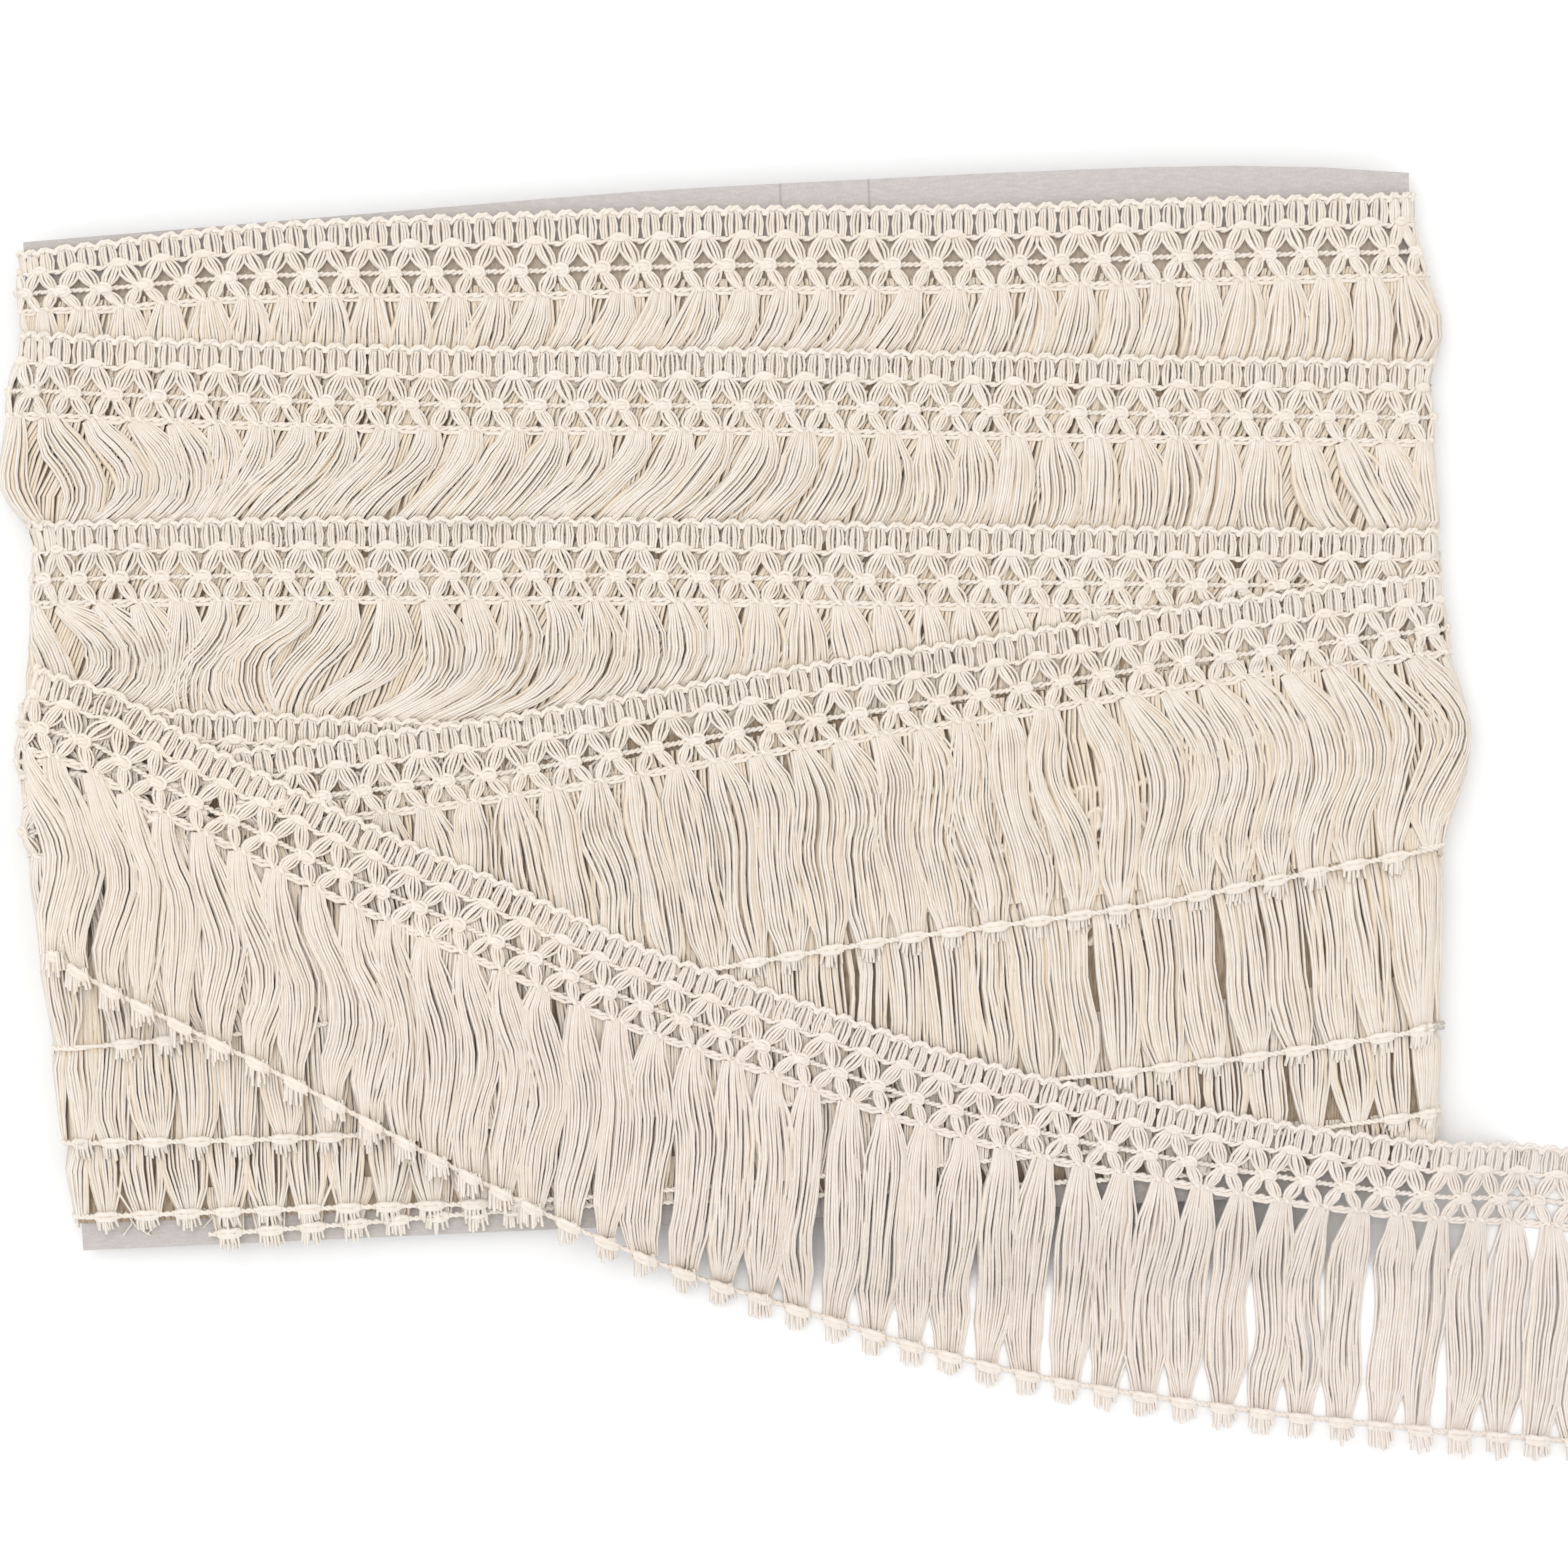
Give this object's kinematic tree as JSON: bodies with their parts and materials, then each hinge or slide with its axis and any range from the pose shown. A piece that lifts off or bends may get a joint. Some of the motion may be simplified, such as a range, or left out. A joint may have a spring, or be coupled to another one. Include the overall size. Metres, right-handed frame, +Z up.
{
  "type": "tassel fringe trim wound on a card",
  "caption": "Flat bundle of cream cotton tassel fringe wound round a grey board card, with its crocheted heading showing in overlapping rows and one end lying loose.",
  "frame": {"origin": "on the surface that the bundle lies on, under the middle of the card", "axes": "+X along the card's long side towards the loose end, +Y up the card towards its bare top margin, +Z up off the surface, out of the face that shows"},
  "size_m": [0.3552, 0.2885, 0.0153],
  "materials": {
    "board": "matt grey chipboard",
    "cotton": "unbleached cotton yarn, matt and slightly fuzzy"
  },
  "bodies": {
    "root": {"card": "board", "wound_trim": "cotton", "loose_heading": "cotton", "loose_fringe": "cotton"}
  },
  "joints": []
}
